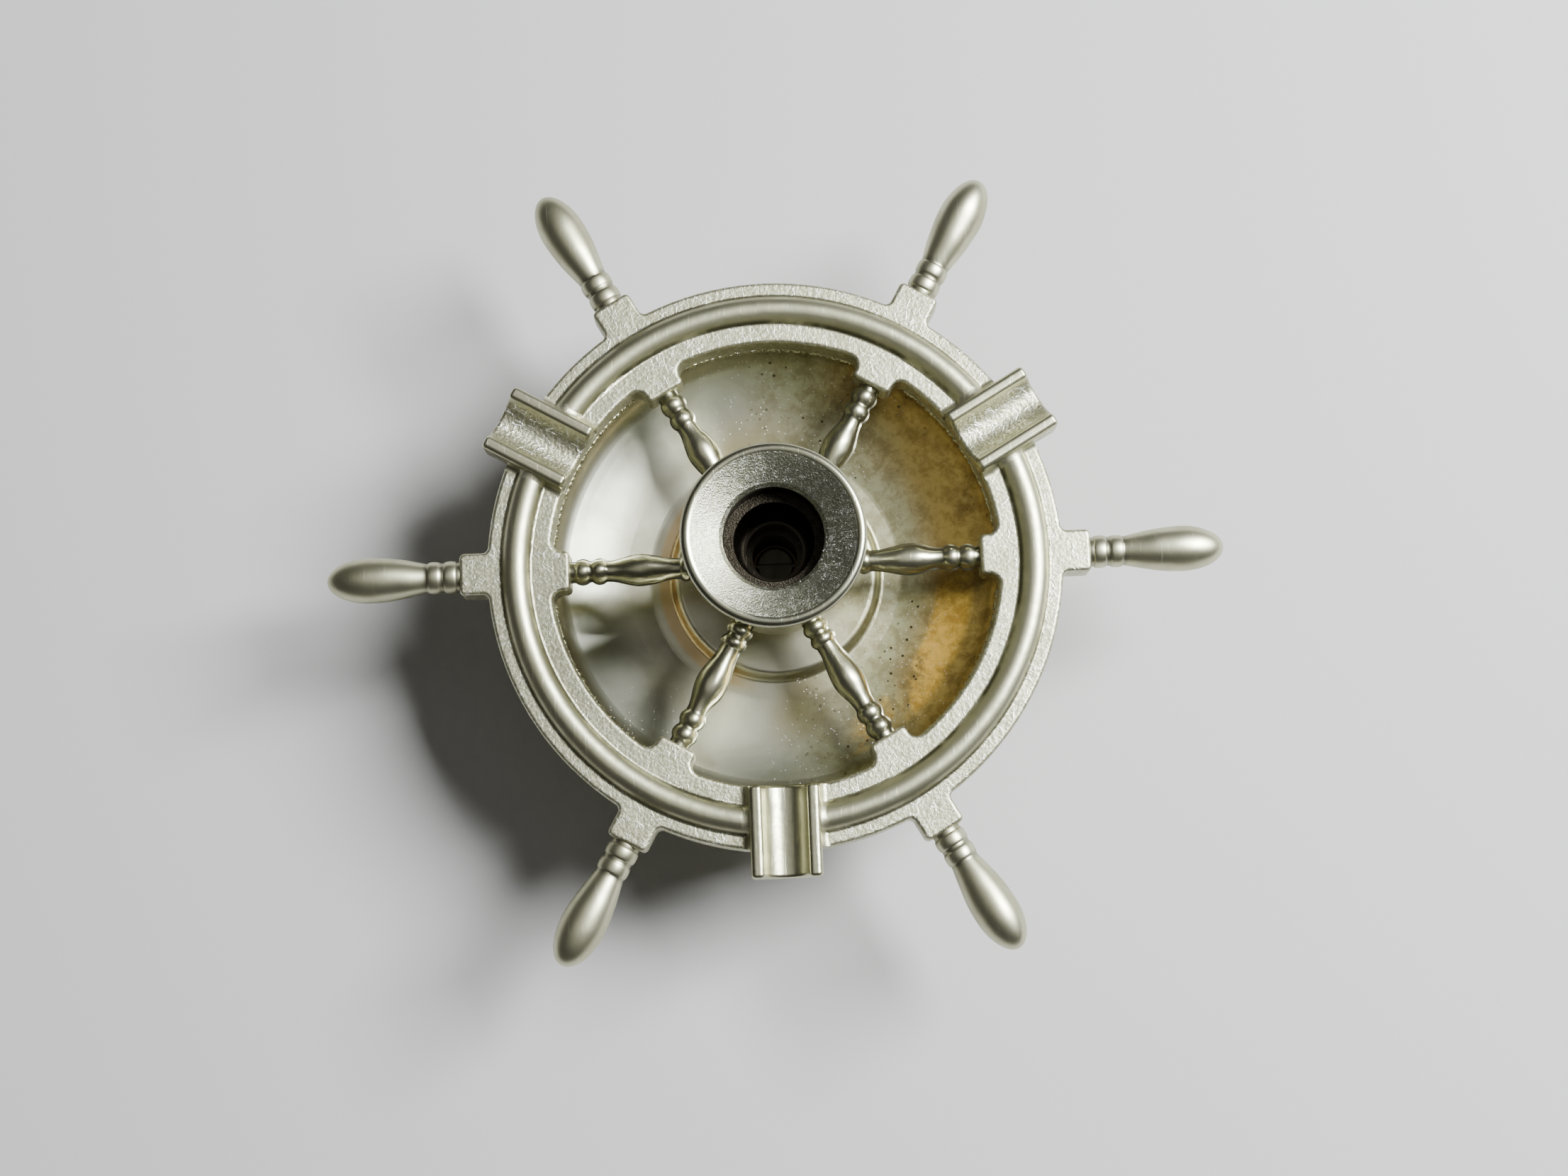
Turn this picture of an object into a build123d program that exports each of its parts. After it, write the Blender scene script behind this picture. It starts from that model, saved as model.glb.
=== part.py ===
"""Brass desk ashtray in the shape of a ship's wheel, in millimetres, +Z up.

A six-spoked wheel stands over a spun bowl on a pedestal foot. The wheel turns on
a centre post and lifts off it, so that the bowl can be emptied. The origin is on
the wheel's axis, where the foot meets the table.
"""

from build123d import *
import os
from math import cos, radians, sin

# --- Foot: everything above stands on its height ------------------------------
foot_height = 29.8              # table to the seat under the bowl's boss
foot_radius = 36.0
foot_ring_width = 4.8           # width of the ring that the felt is glued to
foot_bead_height = 4.0
foot_bead_swell = 1.0
foot_step = 2.0                 # flat step above the foot's bead
foot_waist_radius = 21.0
foot_waist_drop = 11.8          # seat down to the narrowest part of the waist
foot_wall = 3.2
foot_web_thickness = 5.0
boss_fit = 0.3                  # play between the foot's seat and the bowl's boss
felt_thickness = 1.5
felt_inset = 0.5

# --- Bowl -------------------------------------------------------------------
bowl_wall = 1.2
boss_radius = 26.2
boss_rise = 3.0                 # raised boss above the bowl's floor
boss_slope = 1.5                # how much wider the boss is at its foot
boss_shoulder_round = 2.0
boss_root_round = 1.4
floor_width = 6.8               # trough between the boss and the rising wall
dish_width = 13.0               # steeper part of the dish, up to its mouth
dish_floor_rise = 2.2           # how much the dish climbs before the steeper part
dish_rise = 8.0                 # how much it has climbed at the foot of its wall
dish_round = 45.0
bowl_floor_round = 6.0
bowl_wall_draft = 1.8           # wall's foot inside its mouth
bowl_wall_round = 7.0
bowl_mouth_margin = 1.5         # bowl's mouth outside the rim's opening
flange_width = 8.0
flange_root_round = 1.0
flange_gap = 0.4                # turning gap between the rim and the bowl's flange

# --- Pivot ------------------------------------------------------------------
post_radius = 4.0
post_collar_radius = 11.0
post_collar_thickness = 1.6
post_end_chamfer = 0.6
thrust_washer_thickness = 0.8
thrust_gap = 0.05
sleeve_wall = 1.57
sleeve_length = 10.0
running_fit = 0.05
cap_head_radius = 5.0
cap_head_height = 2.4
cap_head_round = 0.8
cap_thread_radius = 1.6
cap_thread_length = 7.0
cap_slot_width = 1.0
cap_slot_depth = 1.0
base_washer_radius = 9.0
base_washer_thickness = 1.2
base_nut_flats = 13.0
base_nut_height = 6.5
thread_end = 1.8                # thread standing past the nut
post_hole_fit = 0.1

# --- Hub --------------------------------------------------------------------
hub_foot_length = 8.05          # running face up to the cylinder that takes the spokes
hub_foot_radius = 12.0
hub_foot_edge = 1.5
hub_flare_swell = 1.2
hub_flare_drop = 2.6
hub_flare_inset = 1.0
hub_barrel_radius = 17.3
hub_barrel_length = 12.5        # the cylinder that the spokes stand in
hub_shoulder = 1.4
hub_neck_radius = 13.2
hub_neck_length = 10.0          # cylinder up to the joint with the cup
cup_spigot_radius = 9.5
cup_spigot_length = 5.1
cup_spigot_wall = 2.5
cup_spigot_fit = 0.05
cup_length = 29.4               # joint up to the top of the lip
cup_radius = 22.5
cup_lip_round = 1.5
cup_waist_step = 0.4            # waist outside the neck below it
cup_bead_height = 3.0
cup_bead_shoulder = 1.4
cup_bead_swell = 2.4
cup_waist_swell = 1.2
lip_inner_angle = 118           # where the lip turns down into the funnel
mouth_depth = 3.8               # lip down to the socket's mouth
mouth_radius = 13.2
socket_radius = 12.3
socket_depth = 8.0              # mouth down to the ledge that a candle stands on
throat_top_radius = 9.9
throat_bottom_radius = 7.7
throat_length = 13.9

# --- Wheel: rim -------------------------------------------------------------
rim_outer_radius = 73.5
rim_width = 16.0
rim_thickness = 8.5
rim_edge_round = 1.0
outer_band_width = 3.7          # flat band outside the ridge
inner_band_width = 5.1          # flat band inside the ridge
ridge_height = 2.8
ridge_crest_shift = 0.2         # crest outside the ridge's middle
ridge_root_width = 1.0
ridge_root_round = 0.9

# --- Wheel: blocks that carry the spokes and handles ------------------------
spoke_count = 6
handle_block_length = 7.1
handle_block_width = 10.8
spoke_block_length = 5.1
spoke_block_width = 10.4
block_corner_round = 1.3
handle_block_root_round = 1.6
spoke_block_root_round = 2.6
tenon_radius = 2.0
handle_tenon_length = 6.0
spoke_tenon_length = 4.0
tenon_fit = 0.03

# --- Wheel: handles ---------------------------------------------------------
handle_length = 34.4            # block to tip
grip_tip_length = 11.0          # fullest part of the grip to its tip
grip_gap = 0.9                  # groove between the last bead and the grip
grip_neck_radius = 3.85
grip_flare_radius = 5.25
grip_radius = 5.85
handle_bead_length = 3.3
handle_bead_gap = 0.9
handle_bead_radius = 4.2
handle_groove_radius = 3.75

# --- Wheel: spokes ----------------------------------------------------------
spoke_groove_radius = 2.75
spoke_bead_radius = 3.45
hub_bead_length = 2.9
rim_bead_length = 3.7
bead_gap = 0.6
spoke_belly_radius = 4.2
spoke_belly_share = 0.56        # how far along the barrel the belly lies
spoke_seat_depth = 0.5          # flat-bottomed seat for the spoke in the hub

# --- Wheel: cigarette rests ---------------------------------------------------
rest_angles = (30, 150, 270)
rest_inner_overhang = 0.6       # past the rim's inner edge
rest_outer_overhang = 6.7       # past the rim's outer edge
rest_width = 18.0
rest_channel_width = 11.8
rest_seat_depth = 4.0           # how deep the rest is let into the rim
rest_wall_height = 4.3          # wall tops above the rim's bands
rest_floor_height = 0.1         # lowest line of the channel above the bands
rest_wall_round = 1.4
rest_end_round = 1.0
rest_fit = 0.03

cut_past = 1.0                  # how far cutting shapes run past what they cut
near = 0.01                     # tolerance when picking corners by place

# --- Heights, from the table up -----------------------------------------------
web_bottom = foot_height - foot_web_thickness
waist_height = foot_height - foot_waist_drop
base_washer_bottom = web_bottom - base_washer_thickness
base_nut_bottom = base_washer_bottom - base_nut_height
boss_top = foot_height + bowl_wall
floor_height = boss_top - boss_rise
collar_top = boss_top + post_collar_thickness
washer_top = collar_top + thrust_washer_thickness
hub_bottom = washer_top + thrust_gap
post_top = hub_bottom + sleeve_length + thrust_gap
barrel_bottom = hub_bottom + hub_foot_length
barrel_top = barrel_bottom + hub_barrel_length
wheel_axis_height = (barrel_bottom + barrel_top) / 2
hub_joint = barrel_top + hub_neck_length
cup_top = hub_joint + cup_length
mouth_height = cup_top - mouth_depth
socket_floor = mouth_height - socket_depth
throat_bottom = socket_floor - throat_length
rim_bottom = wheel_axis_height - rim_thickness / 2
rim_top = wheel_axis_height + rim_thickness / 2
rest_seat = rim_top - rest_seat_depth
flange_top = rim_bottom - flange_gap

# --- Radii, from the axis out ---------------------------------------------------
sleeve_bore = post_radius + running_fit
sleeve_radius = sleeve_bore + sleeve_wall
hub_bore = sleeve_radius + running_fit
post_hole = post_radius + post_hole_fit
foot_seat_radius = boss_radius - bowl_wall - boss_shoulder_round - boss_fit
foot_ring_radius = foot_radius - foot_ring_width
spigot_bore_radius = cup_spigot_radius - cup_spigot_wall
spigot_socket_radius = cup_spigot_radius + cup_spigot_fit
cup_waist_radius = hub_neck_radius + cup_waist_step
floor_radius = boss_radius + floor_width
rim_inner_radius = rim_outer_radius - rim_width
ridge_inner_radius = rim_inner_radius + inner_band_width
ridge_outer_radius = rim_outer_radius - outer_band_width
ridge_crest_radius = (ridge_inner_radius + ridge_outer_radius) / 2 + ridge_crest_shift
spoke_block_end = rim_inner_radius - spoke_block_length
handle_block_end = rim_outer_radius + handle_block_length
handle_tip = handle_block_end + handle_length
rest_inner_end = rim_inner_radius - rest_inner_overhang
rest_outer_end = rim_outer_radius + rest_outer_overhang
bowl_mouth_radius = rim_inner_radius + bowl_mouth_margin
flange_radius = bowl_mouth_radius + flange_width
spoke_angles = [turn * 360 / spoke_count for turn in range(spoke_count)]


def radial_plane(angle, height):
    """Upright plane through the wheel's axis: local X runs outward, local Y up."""
    turn = radians(angle)
    return Plane(
        origin=(0, 0, height),
        x_dir=(cos(turn), sin(turn), 0),
        z_dir=(sin(turn), -cos(turn), 0),
    )


def cross_plane(angle, radius, height):
    """Plane square to a radius of the wheel, facing outward."""
    turn = radians(angle)
    return Plane(
        origin=(radius * cos(turn), radius * sin(turn), height),
        x_dir=(-sin(turn), cos(turn), 0),
        z_dir=(cos(turn), sin(turn), 0),
    )


def radial_axis(angle, height):
    turn = radians(angle)
    return Axis((0, 0, height), (cos(turn), sin(turn), 0))


def bead(start, length, root, crown):
    """One turned bead of a profile, as an arc from root to crown and back."""
    return ThreePointArc((start, root), (start + length / 2, crown), (start + length, root))


def finish(piece, name):
    piece.part.label = name
    export_step(piece.part, f"parts/{name}.step")


os.makedirs("parts", exist_ok=True)

# --- Rim: ring, blocks, raised ridge, sockets and seats for the rests ---------
with BuildPart() as rim:
    with BuildSketch(Plane.XY.offset(rim_bottom)) as rim_outline:
        Circle(rim_outer_radius)
        with PolarLocations((rim_inner_radius + handle_block_end) / 2, spoke_count):
            Rectangle(handle_block_end - rim_inner_radius, handle_block_width)
        block_ends = rim_outline.vertices().filter_by(
            lambda corner: corner.center().length > handle_block_end
        )
        fillet(block_ends, block_corner_round)
        block_roots = rim_outline.vertices().filter_by(
            lambda corner: abs(Vector(corner.X, corner.Y).length - rim_outer_radius) < near
        )
        fillet(block_roots, handle_block_root_round)
        with BuildSketch(mode=Mode.PRIVATE) as opening:
            Circle(rim_inner_radius)
            with PolarLocations((spoke_block_end + rim_outer_radius) / 2, spoke_count):
                Rectangle(
                    rim_outer_radius - spoke_block_end, spoke_block_width, mode=Mode.SUBTRACT
                )
            inner_ends = opening.vertices().filter_by(
                lambda corner: corner.center().length < rim_inner_radius - near
            )
            fillet(inner_ends, block_corner_round)
            inner_roots = opening.vertices().filter_by(
                lambda corner: abs(corner.center().length - rim_inner_radius) < near
            )
            fillet(inner_roots, spoke_block_root_round)
        add(opening.sketch, mode=Mode.SUBTRACT)
    extrude(amount=rim_thickness)
    fillet(rim.faces().sort_by(Axis.Z)[-1].edges(), rim_edge_round)
    with BuildSketch(Plane.XZ) as ridge_section:
        with BuildLine():
            crown = ThreePointArc(
                (ridge_inner_radius, rim_top),
                (ridge_crest_radius, rim_top + ridge_height),
                (ridge_outer_radius, rim_top),
            )
            Polyline(
                crown @ 1,
                (ridge_outer_radius + ridge_root_width, rim_top),
                (ridge_outer_radius + ridge_root_width, rim_top - ridge_root_width),
                (ridge_inner_radius - ridge_root_width, rim_top - ridge_root_width),
                (ridge_inner_radius - ridge_root_width, rim_top),
                crown @ 0,
            )
        make_face()
        crown_feet = ridge_section.vertices().filter_by(
            lambda corner: abs(corner.X - ridge_inner_radius) < near
            or abs(corner.X - ridge_outer_radius) < near
        )
        fillet(crown_feet, ridge_root_round)
    revolve(axis=Axis.Z)
    for angle in spoke_angles:
        with BuildSketch(cross_plane(angle, spoke_block_end, wheel_axis_height)):
            Circle(tenon_radius + tenon_fit)
        extrude(amount=spoke_tenon_length, mode=Mode.SUBTRACT)
        with BuildSketch(cross_plane(angle, handle_block_end, wheel_axis_height)):
            Circle(tenon_radius + tenon_fit)
        extrude(amount=-handle_tenon_length, mode=Mode.SUBTRACT)
    for angle in rest_angles:
        with BuildSketch(cross_plane(angle, rest_inner_end - cut_past, rest_seat)):
            with Locations((0, rest_seat_depth + ridge_height)):
                Rectangle(rest_width + 2 * rest_fit, 2 * (rest_seat_depth + ridge_height))
        extrude(amount=rest_outer_end - rest_inner_end + 2 * cut_past, mode=Mode.SUBTRACT)
finish(rim, "rim")

# --- Spokes: turned between the hub and the rim's inner blocks ----------------
spoke_shoulder = hub_barrel_radius - spoke_seat_depth
hub_bead_1 = hub_barrel_radius + bead_gap
hub_bead_2 = hub_bead_1 + hub_bead_length + bead_gap
spoke_barrel_start = hub_bead_2 + hub_bead_length + bead_gap
rim_bead_2 = spoke_block_end - bead_gap - rim_bead_length
rim_bead_1 = rim_bead_2 - bead_gap - rim_bead_length
spoke_barrel_end = rim_bead_1 - bead_gap
spoke_belly = spoke_barrel_start + spoke_belly_share * (spoke_barrel_end - spoke_barrel_start)
for number, angle in enumerate(spoke_angles, start=1):
    with BuildPart() as spoke:
        with BuildSketch(radial_plane(angle, wheel_axis_height)):
            with BuildLine():
                hub_end = Polyline(
                    (spoke_shoulder - spoke_tenon_length, 0),
                    (spoke_shoulder - spoke_tenon_length, tenon_radius),
                    (spoke_shoulder, tenon_radius),
                    (spoke_shoulder, spoke_groove_radius),
                    (hub_bead_1, spoke_groove_radius),
                )
                bead(hub_bead_1, hub_bead_length, spoke_groove_radius, spoke_bead_radius)
                Line(
                    (hub_bead_1 + hub_bead_length, spoke_groove_radius),
                    (hub_bead_2, spoke_groove_radius),
                )
                bead(hub_bead_2, hub_bead_length, spoke_groove_radius, spoke_bead_radius)
                Line(
                    (hub_bead_2 + hub_bead_length, spoke_groove_radius),
                    (spoke_barrel_start, spoke_groove_radius),
                )
                Spline(
                    (spoke_barrel_start, spoke_groove_radius),
                    (spoke_belly, spoke_belly_radius),
                    (spoke_barrel_end, spoke_groove_radius),
                )
                Line((spoke_barrel_end, spoke_groove_radius), (rim_bead_1, spoke_groove_radius))
                bead(rim_bead_1, rim_bead_length, spoke_groove_radius, spoke_bead_radius)
                Line(
                    (rim_bead_1 + rim_bead_length, spoke_groove_radius),
                    (rim_bead_2, spoke_groove_radius),
                )
                bead(rim_bead_2, rim_bead_length, spoke_groove_radius, spoke_bead_radius)
                Polyline(
                    (rim_bead_2 + rim_bead_length, spoke_groove_radius),
                    (spoke_block_end, spoke_groove_radius),
                    (spoke_block_end, tenon_radius),
                    (spoke_block_end + spoke_tenon_length, tenon_radius),
                    (spoke_block_end + spoke_tenon_length, 0),
                    hub_end @ 0,
                )
            make_face()
        revolve(axis=radial_axis(angle, wheel_axis_height))
    finish(spoke, f"spoke_{number}")

# --- Handles: turned grips with tenons in the rim's outer blocks --------------
handle_bead_1 = handle_block_end + handle_bead_gap
handle_bead_2 = handle_bead_1 + handle_bead_length + handle_bead_gap
grip_start = handle_bead_2 + handle_bead_length + grip_gap
grip_belly = handle_tip - grip_tip_length
for number, angle in enumerate(spoke_angles, start=1):
    with BuildPart() as handle:
        with BuildSketch(radial_plane(angle, wheel_axis_height)):
            with BuildLine():
                tenon = Polyline(
                    (handle_block_end - handle_tenon_length, 0),
                    (handle_block_end - handle_tenon_length, tenon_radius),
                    (handle_block_end, tenon_radius),
                    (handle_block_end, handle_groove_radius),
                    (handle_bead_1, handle_groove_radius),
                )
                bead(handle_bead_1, handle_bead_length, handle_groove_radius, handle_bead_radius)
                Line(
                    (handle_bead_1 + handle_bead_length, handle_groove_radius),
                    (handle_bead_2, handle_groove_radius),
                )
                bead(handle_bead_2, handle_bead_length, handle_groove_radius, handle_bead_radius)
                Polyline(
                    (handle_bead_2 + handle_bead_length, handle_groove_radius),
                    (grip_start, handle_groove_radius),
                    (grip_start, grip_neck_radius),
                )
                flare = Spline(
                    (grip_start, grip_neck_radius),
                    ((grip_start + grip_belly) / 2, grip_flare_radius),
                    (grip_belly, grip_radius),
                    tangents=[(1, 0.3), (1, 0)],
                )
                Spline(
                    (grip_belly, grip_radius),
                    (
                        grip_belly + grip_tip_length * cos(radians(45)),
                        grip_radius * sin(radians(45)),
                    ),
                    (handle_tip, 0),
                    tangents=[(1, 0), (0, -1)],
                )
                Line((handle_tip, 0), tenon @ 0)
            make_face()
        revolve(axis=radial_axis(angle, wheel_axis_height))
    finish(handle, f"handle_{number}")

# --- Cigarette rests: cast troughs let into the rim ---------------------------
for number, angle in enumerate(rest_angles, start=1):
    with BuildPart() as cigarette_rest:
        with BuildSketch(cross_plane(angle, rest_inner_end, rest_seat)) as section:
            with Locations((0, (rest_seat_depth + rest_wall_height) / 2)):
                Rectangle(rest_width, rest_seat_depth + rest_wall_height)
            with BuildLine(mode=Mode.PRIVATE) as channel:
                channel_arc = ThreePointArc(
                    (-rest_channel_width / 2, rest_seat_depth + rest_wall_height),
                    (0, rest_seat_depth + rest_floor_height),
                    (rest_channel_width / 2, rest_seat_depth + rest_wall_height),
                )
                Line(channel_arc @ 1, channel_arc @ 0)
            make_face(channel.line.edges(), mode=Mode.SUBTRACT)
            wall_tops = section.vertices().filter_by(
                lambda corner: corner.Y > rest_seat_depth + rest_wall_height - near
            )
            fillet(wall_tops, rest_wall_round)
        extrude(amount=rest_outer_end - rest_inner_end)
        ends = cigarette_rest.faces().sort_by(radial_axis(angle, 0))
        fillet(ends[0].edges() + ends[-1].edges(), rest_end_round)
    finish(cigarette_rest, f"cigarette_rest_{number}")

# --- Hub barrel: holds the spokes and turns on the sleeve ---------------------
with BuildPart() as hub_barrel:
    with BuildSketch(Plane.XZ) as barrel_section:
        with BuildLine():
            foot_line = Polyline(
                (hub_bore, hub_bottom),
                (hub_foot_radius, hub_bottom),
                (hub_foot_radius, hub_bottom + hub_foot_edge),
            )
            flare = ThreePointArc(
                foot_line @ 1,
                (hub_foot_radius + hub_flare_swell, barrel_bottom - hub_flare_drop),
                (hub_barrel_radius - hub_flare_inset, barrel_bottom),
            )
            Polyline(
                flare @ 1,
                (hub_barrel_radius, barrel_bottom),
                (hub_barrel_radius, barrel_top),
                (hub_barrel_radius - hub_shoulder, barrel_top + hub_shoulder),
                (hub_neck_radius, barrel_top + hub_shoulder),
                (hub_neck_radius, hub_joint),
                (spigot_socket_radius, hub_joint),
                (spigot_socket_radius, hub_joint - cup_spigot_length),
                (hub_bore, hub_joint - cup_spigot_length),
                (hub_bore, hub_bottom),
            )
        make_face()
    revolve(axis=Axis.Z)
    for angle in spoke_angles:
        with BuildSketch(cross_plane(angle, spoke_shoulder, wheel_axis_height)):
            Circle(tenon_radius + tenon_fit)
        extrude(amount=-spoke_tenon_length, mode=Mode.SUBTRACT)
        with BuildSketch(cross_plane(angle, spoke_shoulder, wheel_axis_height)):
            Circle(spoke_groove_radius + tenon_fit)
        extrude(amount=spoke_seat_depth + cut_past, mode=Mode.SUBTRACT)
finish(hub_barrel, "hub_barrel")

# --- Hub cup: funnel, socket and throat above the barrel ----------------------
lip_centre_radius = cup_radius - cup_lip_round
lip_centre_height = cup_top - cup_lip_round
with BuildPart() as hub_cup:
    with BuildSketch(Plane.XZ) as cup_section:
        with BuildLine():
            spigot = Polyline(
                (spigot_bore_radius, throat_bottom),
                (spigot_bore_radius, hub_joint - cup_spigot_length),
                (cup_spigot_radius, hub_joint - cup_spigot_length),
                (cup_spigot_radius, hub_joint),
                (cup_waist_radius + cup_bead_shoulder, hub_joint),
            )
            waist_bead = ThreePointArc(
                spigot @ 1,
                (cup_waist_radius + cup_bead_swell, hub_joint + cup_bead_height / 2),
                (cup_waist_radius + cup_bead_shoulder, hub_joint + cup_bead_height),
            )
            Line(waist_bead @ 1, (cup_waist_radius, hub_joint + cup_bead_height))
            Spline(
                (cup_waist_radius, hub_joint + cup_bead_height),
                (cup_waist_radius + cup_waist_swell, (hub_joint + lip_centre_height) / 2),
                (cup_radius, lip_centre_height),
                tangents=[(0, 1), (0.5, 1)],
            )
            lip = CenterArc(
                (lip_centre_radius, lip_centre_height), cup_lip_round, 0, lip_inner_angle
            )
            Polyline(
                lip @ 1,
                (mouth_radius, mouth_height),
                (socket_radius, mouth_height - (mouth_radius - socket_radius)),
                (socket_radius, socket_floor),
                (throat_top_radius, socket_floor),
                (throat_bottom_radius, throat_bottom),
                (spigot_bore_radius, throat_bottom),
            )
        make_face()
    revolve(axis=Axis.Z)
finish(hub_cup, "hub_cup")

# --- Pivot: post, thrust washer, turning sleeve and cap screw -----------------
with BuildPart() as centre_post:
    with BuildSketch(Plane.XY.offset(base_nut_bottom - thread_end)):
        Circle(post_radius)
    extrude(amount=post_top - base_nut_bottom + thread_end)
    with BuildSketch(Plane.XY.offset(boss_top)):
        Circle(post_collar_radius)
    extrude(amount=post_collar_thickness)
    with BuildSketch(Plane.XY.offset(post_top)):
        Circle(cap_thread_radius + tenon_fit)
    extrude(amount=-cap_thread_length, mode=Mode.SUBTRACT)
    chamfer(centre_post.edges().sort_by(Axis.Z)[0], post_end_chamfer)
finish(centre_post, "centre_post")

with BuildPart() as thrust_washer:
    with BuildSketch(Plane.XY.offset(collar_top)):
        Circle(post_collar_radius)
        Circle(post_hole, mode=Mode.SUBTRACT)
    extrude(amount=thrust_washer_thickness)
finish(thrust_washer, "thrust_washer")

with BuildPart() as pivot_sleeve:
    with BuildSketch(Plane.XY.offset(hub_bottom)):
        Circle(sleeve_radius)
        Circle(sleeve_bore, mode=Mode.SUBTRACT)
    extrude(amount=sleeve_length)
finish(pivot_sleeve, "pivot_sleeve")

with BuildPart() as cap_screw:
    with BuildSketch(Plane.XY.offset(post_top)):
        Circle(cap_head_radius)
    extrude(amount=cap_head_height)
    fillet(cap_screw.edges().sort_by(Axis.Z)[-1], cap_head_round)
    with BuildSketch(Plane.XY.offset(post_top)):
        Circle(cap_thread_radius)
    extrude(amount=-cap_thread_length)
    with BuildSketch(Plane.XY.offset(post_top + cap_head_height)):
        Rectangle(2 * cap_head_radius, cap_slot_width)
    extrude(amount=-cap_slot_depth, mode=Mode.SUBTRACT)
finish(cap_screw, "cap_screw")

# --- Bowl: one spun sheet with a raised boss and a flange under the rim -------
with BuildPart() as bowl:
    with BuildSketch(Plane.XZ):
        with BuildLine() as bowl_line:
            FilletPolyline(
                (post_hole, boss_top),
                (boss_radius, boss_top),
                (boss_radius + boss_slope, floor_height),
                (floor_radius, floor_height),
                (bowl_mouth_radius - dish_width, floor_height + dish_floor_rise),
                (bowl_mouth_radius - bowl_wall_draft, floor_height + dish_rise),
                (bowl_mouth_radius, flange_top),
                (flange_radius, flange_top),
                radius=[
                    boss_shoulder_round, boss_root_round, bowl_floor_round, dish_round,
                    bowl_wall_round, flange_root_round,
                ],
            )
            offset(amount=bowl_wall, side=Side.RIGHT)
        make_face()
    revolve(axis=Axis.Z)
finish(bowl, "bowl")

# --- Foot: pedestal with a web that the post clamps to the bowl ---------------
bead_top = felt_thickness + foot_bead_height
with BuildPart() as foot:
    with BuildSketch(Plane.XZ):
        with BuildLine():
            ring = Line((foot_ring_radius, felt_thickness), (foot_radius, felt_thickness))
            base_bead = ThreePointArc(
                ring @ 1,
                (foot_radius + foot_bead_swell, felt_thickness + foot_bead_height / 2),
                (foot_radius, bead_top),
            )
            step = Line(base_bead @ 1, (foot_radius - foot_step, bead_top))
            sweep_up = Spline(
                step @ 1,
                (foot_waist_radius + foot_step, (bead_top + waist_height) / 2),
                (foot_waist_radius, waist_height),
                tangents=[(-1, 0.25), (0, 1)],
            )
            seat = Polyline(
                sweep_up @ 1,
                (foot_seat_radius, foot_height - foot_step),
                (foot_seat_radius, foot_height),
                (post_hole, foot_height),
                (post_hole, web_bottom),
                (foot_waist_radius - foot_wall, web_bottom),
                (foot_waist_radius - foot_wall, waist_height),
            )
            Spline(
                seat @ 1,
                (foot_waist_radius + foot_step - foot_wall, waist_height / 2),
                ring @ 0,
                tangents=[(0, -1), (1, -0.4)],
            )
        make_face()
    revolve(axis=Axis.Z)
finish(foot, "foot")

with BuildPart() as base_washer:
    with BuildSketch(Plane.XY.offset(base_washer_bottom)):
        Circle(base_washer_radius)
        Circle(post_hole, mode=Mode.SUBTRACT)
    extrude(amount=base_washer_thickness)
finish(base_washer, "base_washer")

with BuildPart() as base_nut:
    with BuildSketch(Plane.XY.offset(base_nut_bottom)):
        RegularPolygon(base_nut_flats / 2, 6, major_radius=False)
        Circle(post_radius + tenon_fit, mode=Mode.SUBTRACT)
    extrude(amount=base_nut_height)
finish(base_nut, "base_nut")

with BuildPart() as felt_pad:
    with BuildSketch(Plane.XY):
        Circle(foot_radius - felt_inset)
        Circle(foot_ring_radius + felt_inset, mode=Mode.SUBTRACT)
    extrude(amount=felt_thickness)
finish(felt_pad, "felt_pad")
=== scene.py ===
"""Looks of a brass ship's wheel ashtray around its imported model.

Laid out as an add-on: sizes and colours are properties, each piece or group of like
pieces is an operator, and main() calls them in order. Outlines and the rim's measures
are in millimetres, and MM turns them into the scene's metres.
"""

import bmesh
import bpy
from math import cos, pi, radians, sin, sqrt
from bpy.props import FloatProperty, FloatVectorProperty, PointerProperty
from bpy.types import Operator, Panel, PropertyGroup
from mathutils import Matrix, Vector, noise


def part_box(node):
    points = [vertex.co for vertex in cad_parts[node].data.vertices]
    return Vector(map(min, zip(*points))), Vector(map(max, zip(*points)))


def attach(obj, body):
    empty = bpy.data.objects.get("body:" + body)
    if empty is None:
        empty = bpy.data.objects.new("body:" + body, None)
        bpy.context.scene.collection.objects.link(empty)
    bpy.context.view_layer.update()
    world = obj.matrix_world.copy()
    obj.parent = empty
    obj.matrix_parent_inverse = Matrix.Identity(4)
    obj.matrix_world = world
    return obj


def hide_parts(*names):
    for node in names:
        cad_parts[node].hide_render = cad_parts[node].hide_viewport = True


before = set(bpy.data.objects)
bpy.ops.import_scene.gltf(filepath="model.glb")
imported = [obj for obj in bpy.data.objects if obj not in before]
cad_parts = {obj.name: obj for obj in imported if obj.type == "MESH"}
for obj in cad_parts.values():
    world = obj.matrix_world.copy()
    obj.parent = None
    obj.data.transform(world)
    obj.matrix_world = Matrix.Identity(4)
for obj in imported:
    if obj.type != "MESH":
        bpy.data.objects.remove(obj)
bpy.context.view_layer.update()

bl_info = {
    "name": "Ship's wheel ashtray",
    "version": (1, 0, 0),
    "blender": (4, 5, 0),
    "location": "View3D > Sidebar > Wheel Tray",
    "description": "Turned, cast and spun brass pieces of a ship's wheel ashtray",
    "category": "Mesh",
}

MM = 0.001

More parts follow.
